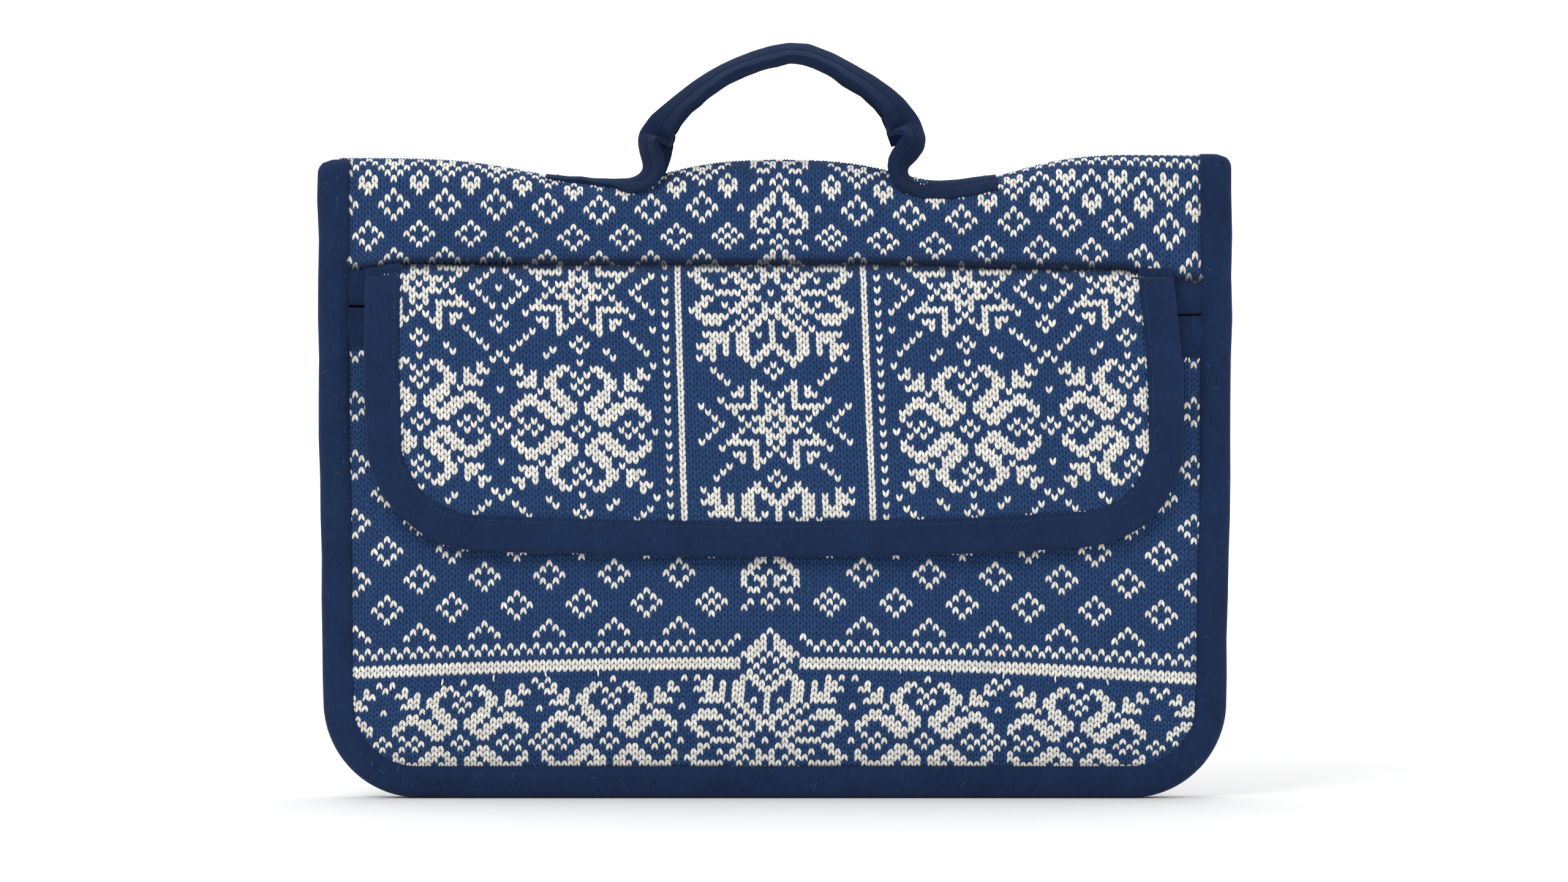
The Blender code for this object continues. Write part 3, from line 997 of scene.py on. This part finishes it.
def make_flap(yarn, lining, wadding):
    half_columns = int(FLAP_HALF_WIDTH / FLAP_WALE)
    rows = 54
    chart = flap_chart(half_columns, rows)
    star_z = 164 * MM
    start = star_z - (STAR_ROW + 0.5) * FLAP_COURSE

    def inside(x, z):
        return (flap_edge_distance(x, z) > 8 * MM) & (z < flap_top(x))

    flap = knit(
        "flap_knit_face", chart, flap_surface, FLAP_WALE, FLAP_COURSE, start, False,
        inside=inside, pull=pull_flap, crease_shade=flap_painted_shade,
    )
    finish_with(flap, yarn, "knit", None, "flap_knit")
    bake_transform(flap)
    x = np.linspace(-FLAP_HALF_WIDTH + 3 * MM, FLAP_HALF_WIDTH - 3 * MM, 90)
    z = np.linspace(FLAP_LOW.z + 3 * MM, FLAP_HIGH.z + 1 * MM, 40)

    def hanging(a, b):
        return (flap_edge_distance(lean(a, b), b) > 3 * MM) & (b < flap_top(a) - 5 * MM)

    def behind(a, b):
        return np.stack([lean(a, b), np.full_like(a, -FLAP_BACK - 0.9 * MM), b], -1)

    back = plain_sheet("flap_back_lining", behind, x, z, hanging)
    thicken(back, 0.6 * MM)
    finish_with(back, lining, "lining", "flap", "flap_lining")

    def between(a, b):
        return np.stack([lean(a, b), -(flap_depth(lean(a, b), b) + FLAP_BACK) / 2, b], -1)

    pad = plain_sheet("flap_pad", between, x[2:-2], z[2:-3], hanging)
    thicken(pad, 1.6 * MM)
    finish_with(pad, wadding, "wadding", "flap", "flap_padding")


# Each lip's section: the share of its height, and how far it stands out of the wall in mm.
LOWER_LIP = (
    (-0.3, -0.9), (0.0, 0.8), (0.25, 1.5), (0.6, 1.8), (0.85, 1.5), (0.96, 1.0), (1.0, 0.2), (0.99, -1.5),
    (0.85, -2.5),
)
UPPER_LIP = (
    (0.04, -1.6), (0.03, 0.0), (0.08, 0.9), (0.2, 1.3), (0.6, 1.3), (0.85, 0.4), (1.0, -0.8), (1.3, -2.0),
)


def make_lips(felt):
    """The two felt strips that meet at the mouth."""
    reach = HALF_WIDTH - 9 * MM
    x = np.linspace(-reach, reach, 130)
    slit = 212.6 * MM
    wave = slow_noise(len(x), 9, 0.35 * MM)
    lower_z = LIP_LOW.z - 2 * MM
    rise = slit - lower_z

    def make_lip(name, node, section, height):
        """A lip from its section, where height(share) gives z along it."""
        lines = []
        for share, out in section:
            z = height(share)
            lines.append(np.stack([x, -(wall_depth(x, z) + out * MM), z], -1))
        made = grid_object(name, np.array(lines))[0]
        thicken(made, 1.0 * MM, -1)
        return finish_with(made, felt, "navy_wool", "bag", node)

    lip = make_lip(
        "mouth_lower_lip", "mouth_binding", LOWER_LIP,
        lambda share: lower_z + rise * share + tilt(x) * 0.9 + wave * share,
    )
    upper_rise = HOOD_Z + 1 * MM - slit
    facing = make_lip(
        "mouth_upper_lip", "mouth_facing", UPPER_LIP,
        lambda share: slit + 0.15 * MM + upper_rise * share + tilt(x) * 0.95 + wave * (1 - share),
    )


def make_fastener_strips():
    for node, body, scale in (("loop_strip", "bag", 900), ("hook_strip", "flap", 700)):
        low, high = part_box(node)
        x = np.linspace(low.x, high.x, 40)
        z = np.linspace(low.z, high.z, 12)
        middle = (low.y + high.y) / 2

        def flat(a, b):
            edge = np.minimum(high.x - np.abs(a), np.minimum(b - low.z, high.z - b))
            push = 0.25 * MM * smooth(edge / (2 * MM)) * (-1 if body == "bag" else 1)
            return np.stack([a, middle + push, b], -1)

        strip = plain_sheet(f"{node}_tape", flat, x, z)
        thicken(strip, 0.5 * MM)
        finish_with(strip, fastener_material(f"{node}_tape", scale), "fastener", body, node)


# The handle


STRAP_THICKNESS = 2.3 * MM
STRAP_WING = 15 * MM
STRAP_SPINE = 1.6 * MM
# The row of stitches on each wing, measured from the strap's spine.
STRAP_GROOVE = 8.5 * MM
# How far the strap's feet are from the middle of the crest's rounding.
FOOT_RADIUS = HALF_DEPTH + 1.2 * MM
# The filling ends just above the feet.
CORE_LOW = 292 * MM
# The strap's upper face from the left foot to the right one: x and z in mm, how far its front and its back
# half are folded down in degrees, how closely it wraps the crest, and how far it lies to the front in mm.
STRAP_LINE = [
    (-100.5, 273.4, 0, 0, 1, -9.5),
    (-90, 272.2, 0, 0, 1, -9.5),
    (-80, 271.3, 0, 0, 1, -9),
    (-70, 270.9, 0, 0, 1, -7),
    (-63.8, 271.2, 5, 5, 0.9, -2),
    (-59.8, 272.7, 22, 15, 0.4, 0),
    (-57.7, 275.4, 34, 32, 0, 0),
    (-58.2, 278.4, 32, 54, 0, 0),
    (-59.3, 282, 30, 74, 0, 0),
    (-60.1, 286.6, 30, 86, 0, 0),
    (-59.9, 289.6, 36, 86, 0, 0),
    (-59.0, 292.2, 84, 86, 0, 0),
    (-54.4, 298.6, 56, 56, 0, 0),
    (-49.5, 302.8, 43, 43, 0, 0),
    (-43.5, 307.7, 36, 36, 0, 0),
    (-36.7, 313, 31, 31, 0, 0),
    (-30.3, 317.3, 28, 28, 0, 0),
    (-23.9, 320.9, 27, 27, 0, 0),
    (-17.4, 323.9, 27, 27, 0, 0),
    (-10, 326.8, 27, 27, 0, 0),
    (-2, 329.2, 27, 27, 0, 0),
    (6, 330.6, 27, 27, 0, 0),
    (15, 330.1, 27, 27, 0, 0),
    (25.7, 326, 28, 28, 0, 0),
    (33.5, 321.8, 31, 31, 0, 0),
    (43.5, 316.1, 35, 35, 0, 0),
    (51.6, 310.4, 41, 41, 0, 0),
    (56.6, 306, 50, 50, 0, 0),
    (61, 300.6, 64, 64, 0, 0),
    (63.2, 297.4, 78, 84, 0, 0),
    (64.4, 294.6, 36, 86, 0, 0),
    (66.3, 288.7, 34, 84, 0, 0),
    (65.5, 283.8, 40, 66, 0, 0),
    (62.4, 279.4, 42, 44, 0, 0),
    (58.2, 275.4, 35, 24, 0, 0),
    (58.6, 272.2, 18, 8, 0.4, 0),
    (64, 270.6, 4, 0, 0.9, -0.6),
    (72, 270.2, 0, 0, 1, -1),
    (80, 270.7, 0, 0, 1, -1.6),
    (88, 271.9, 0, 0, 1, -2),
    (97.2, 272.9, 0, 0, 1, -2.6),
]


def strap_stations(step=0.9 * MM):
    """The strap's line, its outward direction, and its four other values, all at even steps."""
    table = np.array(STRAP_LINE)
    line = table[:, :2] * MM
    places = np.concatenate([[0], np.cumsum(np.linalg.norm(np.diff(line, axis=0), axis=1))])
    fine = np.linspace(0, places[-1], int(places[-1] / step))
    rough = [np.interp(fine, places, column) for column in (line[:, 0], line[:, 1], *table[:, 2:].T)]
    rough = [running_mean(running_mean(column)) for column in rough]
    line = np.stack(rough[:2], -1)
    tangent = np.gradient(line, axis=0)
    tangent /= np.linalg.norm(tangent, axis=1, keepdims=True)
    outward = np.stack([-tangent[:, 1], tangent[:, 0]], -1)
    return line, outward, [column[:, None] for column in rough[2:]]


def make_handle(felt):
    line, outward, (front, back, wrapped, forward) = strap_stations()
    across = np.linspace(-1, 1, 69)[None, :] * (STRAP_SPINE + STRAP_WING)
    wing = np.maximum(np.abs(across) - STRAP_SPINE, 0)
    spine = np.sign(across) * np.minimum(np.abs(across), STRAP_SPINE)
    fold = np.radians(np.where(across < 0, front, back))
    soft = wing / (wing + 1.2 * MM)
    groove = np.exp(-(((wing - STRAP_GROOVE) / (0.55 * MM)) ** 2))
    swell = np.sin(math.pi * np.clip(wing / STRAP_GROOVE, 0, 2)) ** 2
    lift = (0.1 * swell - 0.55 * groove) * MM
    sideways = np.sign(across) * wing * np.cos(fold * soft) + spine + np.sign(across) * lift * np.sin(fold)
    down = wing * np.sin(fold * soft) - lift * np.cos(fold)
    turn = (across - forward * MM) / FOOT_RADIUS
    y = sideways * (1 - wrapped) + FOOT_RADIUS * np.sin(turn) * wrapped
    down = down * (1 - wrapped) + (FOOT_RADIUS * (1 - np.cos(turn)) - lift) * wrapped
    count = len(line)
    both_wings = slow_noise(count, 6, 0.22 * MM)[:, None]
    either_wing = slow_noise(count, 11, 0.25 * MM)[:, None]
    uneven = both_wings + either_wing * np.sign(across)
    down = down + STRAP_THICKNESS / 2 + uneven * wing / STRAP_WING
    x = line[:, :1] - outward[:, :1] * down
    z = line[:, 1:] - outward[:, 1:] * down
    strap = grid_object("handle_strap_felt", np.stack([x, y, z], -1))[0]
    thicken(strap, STRAP_THICKNESS, even=False)
    apply_modifiers(strap)
    round_edges(strap, 0.8 * MM)
    finish_with(strap, felt, "navy_wool", None, "handle_strap", "handle_foot_left", "handle_foot_right")
    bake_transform(strap)


def running_mean(values):
    padded = np.concatenate([values[:1], values, values[-1:]])
    return np.convolve(padded, np.ones(3) / 3, "valid")


def apply_modifiers(obj):
    bpy.context.view_layer.update()
    evaluated = obj.evaluated_get(bpy.context.evaluated_depsgraph_get())
    made = bpy.data.meshes.new_from_object(evaluated)
    obj.modifiers.clear()
    obj.data = made


def round_edges(obj, width):
    bevel = obj.modifiers.new("round", "BEVEL")
    bevel.width = width
    bevel.segments = 3
    bevel.limit_method = "ANGLE"
    bevel.angle_limit = math.radians(55)
    apply_modifiers(obj)
    obj.data.shade_smooth()


def make_core(wadding):
    line, outward, _ = strap_stations()
    keep = line[:, 1] > CORE_LOW
    line, outward = line[keep], outward[keep]
    turn = np.linspace(0, 2 * math.pi, 12, endpoint=False)[None, :]
    depth = 3.9 * MM + 0.8 * MM * np.cos(turn)
    x = line[:, :1] - outward[:, :1] * depth
    z = line[:, 1:] - outward[:, 1:] * depth
    y = np.broadcast_to(1.6 * MM * np.sin(turn), x.shape)
    core = swept("handle_filling", np.stack([x, y, z], -1))
    finish_with(core, wadding, "wadding", "handle", "handle_core")


# Stitching


# A stitch's rings of points: their place along it, as a share of its length, then radius and lift in mm.
STITCH_SECTIONS = (
    (-0.42, 0.02, -0.1), (-0.3, 0.16, 0.04), (0, 0.2, 0.12), (0.3, 0.16, 0.04), (0.42, 0.02, -0.1),
)


def stitches(name, points, normals, length, material, body, *nodes):
    """Short raised threads along a line of points."""
    vertices, faces = [], []
    ring = 6
    for place, tangent, normal in zip(*line_stations(points, normals, length)):
        side = np.cross(tangent, normal)
        base = len(vertices)
        for along, size, lift in STITCH_SECTIONS:
            for k in range(ring):
                a = 2 * math.pi * k / ring
                offset = side * math.cos(a) * size * MM + normal * (math.sin(a) * size + lift) * MM
                vertices.append(place + tangent * along * length + offset)
        for s in range(len(STITCH_SECTIONS) - 1):
            for k in range(ring):
                a, b = base + s * ring + k, base + s * ring + (k + 1) % ring
                faces.append((a, b, b + ring, a + ring))
    mesh = bpy.data.meshes.new(name)
    mesh.from_pydata([tuple(v) for v in vertices], [], faces)
    mesh.shade_smooth()
    return finish_with(linked(name, mesh), material, "thread", body, *nodes)


def line_stations(points, normals, spacing):
    points, normals = np.asarray(points, float), np.asarray(normals, float)
    steps = np.linalg.norm(np.diff(points, axis=0), axis=1)
    distance = np.concatenate([[0], np.cumsum(steps)])
    places = np.arange(spacing / 2, distance[-1], spacing)

    def values_at(values, where):
        return np.stack([np.interp(where, distance, values[:, k]) for k in range(3)], -1)

    normal = values_at(normals, places)
    tangent = values_at(points, places + spacing * 0.2) - values_at(points, places - spacing * 0.2)
    tangent /= np.maximum(np.linalg.norm(tangent, axis=1, keepdims=True), 1e-9)
    return values_at(points, places), tangent, normal / np.linalg.norm(normal, axis=1, keepdims=True)


def make_stitching(thread):
    inset = FLAP_BINDING_WIDTH - 2 * MM
    top = FLAP_HIGH.z - FLAP_LOW.z - 6 * MM
    places, outward = u_path(FLAP_HALF_WIDTH, FLAP_CORNER_RADIUS, 0, top, 2 * MM)
    x = places[:, 0] - outward[:, 0] * inset
    z = places[:, 1] - outward[:, 1] * inset
    z = z + flap_bottom(x)
    x = lean(x, z)
    y = -(flap_depth(x, z) + 1.15 * MM)
    forward = np.tile((0, -1, 0), (len(x), 1))
    stitches("flap_binding_stitches", np.stack([x, y, z], -1), forward, 2.4 * MM, thread, "flap")
    line, outward, (_, _, _, forward) = strap_stations()
    for name, end, reach in (("left", 0, 5.2 * MM), ("right", -1, 4.6 * MM)):
        station = np.argmin(np.abs(np.linalg.norm(line - line[end], axis=1) - reach))
        radius = HALF_DEPTH + 2.5 * MM
        turn = np.linspace(-0.85, 0.85, 40)
        around = turn - forward[station] * MM / FOOT_RADIUS
        down = (radius - 0.1 * MM) * (1 - np.cos(around))
        x = line[station, 0] - outward[station, 0] * down
        z = line[station, 1] - outward[station, 1] * down
        points = np.stack([x, radius * np.sin(around), z + 0.1 * MM], -1)
        normals = np.stack([0 * around, np.sin(around), np.cos(around)], -1)
        stitches(f"foot_stitches_{name}", points, normals, 2.2 * MM, thread, "bag", f"foot_stitching_{name}")


# Loose fibres


def tubes(name, lines, radius, sides=3):
    """Thin tubes that taper at both ends, one along each line of points (lines, stations, 3)."""
    count, stations = lines.shape[:2]
    tangent = np.gradient(lines, axis=1)
    tangent /= np.linalg.norm(tangent, axis=2, keepdims=True)
    side = np.cross(tangent, (0.31, 0.52, 0.79))
    side /= np.linalg.norm(side, axis=2, keepdims=True)
    other = np.cross(tangent, side)
    taper = radius * np.sin(math.pi * np.linspace(0.03, 0.97, stations)) ** 0.4
    angle = 2 * math.pi * np.arange(sides + 1) / sides
    turned_side = side[:, :, None] * np.cos(angle)[None, None, :, None]
    turned_other = other[:, :, None] * np.sin(angle)[None, None, :, None]
    spread = turned_side + turned_other
    points = lines[:, :, None] + spread * taper[None, :, None, None]
    rows = points.reshape(count * stations, sides + 1, 3)
    keep = np.ones((count * stations - 1, sides), bool)
    keep[stations - 1 :: stations] = False
    return grid_object(name, rows, keep)[0]


def make_lint(lint, name, body, sources):
    """Loose hairs that lie on the cloth: sources gives each piece, its number of hairs and their length."""
    lines = []
    share = np.linspace(0, 1, 7)[:, None]
    for source, count, length in sources:
        faces = bpy.data.objects[source].data.polygons
        for number in RNG.integers(0, len(faces), count):
            face = faces[int(number)]
            normal = np.array(face.normal)
            if normal[1] > 0.3:  # No hairs on what faces the back.
                continue
            along = np.cross(normal, RNG.normal(0, 1, 3))
            along /= np.linalg.norm(along)
            aside = np.cross(normal, along)
            reach = length * RNG.uniform(0.4, 1.3)
            bend = RNG.normal(0, 0.45) * reach
            lift = 0.1 * MM + RNG.uniform(0.15, 0.7) * MM * np.sin(math.pi * share)
            hair = along * share * reach + aside * bend * share**2 + normal * lift
            lines.append(np.array(face.center) + hair)
    finish_with(tubes(name, np.array(lines), 0.045 * MM), lint, "thread", body)


def make_hanging_strands(white):
    """Ends of the white yarn that hang out under the front's stripe."""
    share = np.linspace(0, 1, 9)
    lines = []
    for x in np.concatenate([np.arange(54.6, 160, 22.6), -np.arange(54.6, 170, 22.6)]) * MM:
        z = 58.6 * MM - 0.3 * x * x - 3.6 * MM * share * RNG.uniform(0.7, 1.1)
        place = x + 0.25 * MM * np.sin(3 * share + x * 900)
        depth = wall_depth(place, z) + 0.8 * MM + 0.5 * MM * np.sin(math.pi * share)
        lines.append(np.stack([place, -depth, z], -1))
    finish_with(tubes("hanging_strands", np.array(lines), 0.4 * MM, 6), white, "knit", "bag")


def lint_material():
    nodes = Nodes("pale_lint")
    color = nodes.mix(nodes.noise(60, 2), (0.10, 0.15, 0.25, 1), (0.36, 0.40, 0.46, 1))
    return nodes.surface(color, 0.9)


def strand_material():
    nodes = Nodes("white_strand")
    return nodes.surface(nodes.mix(nodes.noise(1500, 2), WHITE_YARN, WHITE_YARN_WARM), 0.85, 0.15, 0.4)


# The stage


def make_stage():
    nodes = Nodes("pale_paper")
    color = nodes.mix(nodes.noise(8, 2), (0.93, 0.93, 0.93, 1), (0.96, 0.96, 0.96, 1))
    material = nodes.surface(color, 0.9)
    turn = np.linspace(0.1, math.pi / 2, 10)
    bend = 0.8
    depth = np.concatenate([np.linspace(-3.5, 3.0, 12), 3.0 + bend * np.sin(turn), [3.8]])
    height = np.concatenate([np.zeros(12), bend * (1 - np.cos(turn)), [4.0]])
    x, y = np.meshgrid(np.linspace(-4, 4, 9), depth)
    z = np.broadcast_to(height[:, None], x.shape) - 0.2 * MM
    points = np.stack([x, y, z], -1)
    floor = grid_object("pale_floor", points)[0]
    floor.data.materials.append(material)


def area_light(name, location, target, size, power):
    data = bpy.data.lights.new(name, "AREA")
    data.shape = "RECTANGLE"
    data.size, data.size_y = size
    data.energy = power
    light = linked(name, data)
    light.location = location
    direction = np.array(target) - np.array(location)
    light.rotation_euler = Vector(direction).to_track_quat("-Z", "Y").to_euler()


def make_lights():
    bpy.context.scene.view_settings.view_transform = "Standard"
    world = bpy.data.worlds.new("studio")
    bpy.context.scene.world = world
    world.use_nodes = True
    background = world.node_tree.nodes["Background"]
    background.inputs["Color"].default_value = (1, 1, 1, 1)
    background.inputs["Strength"].default_value = 0.68
    area_light("key", (-0.9, -1.6, 1.5), (0, 0, 0.15), (1.0, 1.0), 19)
    area_light("fill", (1.4, -1.6, 0.8), (0, 0, 0.15), (1.2, 1.2), 7)
    area_light("top", (0.0, 0.3, 1.7), (0, 0, 0.2), (1.4, 0.8), 6.5)
    area_light("backdrop", (0.0, 1.9, 2.2), (0, 3.6, 0.5), (4.0, 1.0), 60)


# The picture's width over the bag's.
PICTURE_TO_BAG = 1.708945


def make_camera():
    width = PICTURE_TO_BAG * (2 * HALF_WIDTH)
    distance = 2.4
    data = bpy.data.cameras.new("camera")
    data.sensor_width = 36
    data.lens = 36 * (distance - HALF_DEPTH) / width
    camera = linked("camera", data)
    camera.location = (4 * MM, -distance, 156 * MM)
    camera.rotation_euler = (math.pi / 2, 0, 0)
    bpy.context.scene.camera = camera


def main():
    make_camera()
    make_stage()
    make_lights()
    yarn, felt, thread = yarn_material(), felt_material(), thread_material()
    lining, wadding = lining_material(), wadding_material()
    make_knitted_walls(yarn)
    make_linings_and_padding(lining, wadding)
    make_edge_binding(felt)
    make_lips(felt)
    make_flap(yarn, lining, wadding)
    make_flap_binding(felt)
    make_fastener_strips()
    # The handle gets the darker copy of the felt, painted shade against the light from above.
    make_handle(felt_material("shaded_handle_felt", SHADED_HANDLE_FELT, SHADED_HANDLE_FELT_LIGHT))
    make_core(wadding)
    make_stitching(thread)
    lint = lint_material()
    on_felt, on_knit = 2.6 * MM, 2.2 * MM
    bag_sources = [("edge_binding_felt", 150, on_felt), ("front_panel_knit", 160, on_knit)]
    bag_sources.append(("hood_knit", 120, on_knit))
    flap_sources = [("flap_binding_felt", 80, on_felt), ("flap_knit_face", 150, on_knit)]
    make_lint(lint, "lint_on_bag", "bag", bag_sources)
    make_lint(lint, "lint_on_flap", "flap", flap_sources)
    make_hanging_strands(strand_material())


main()
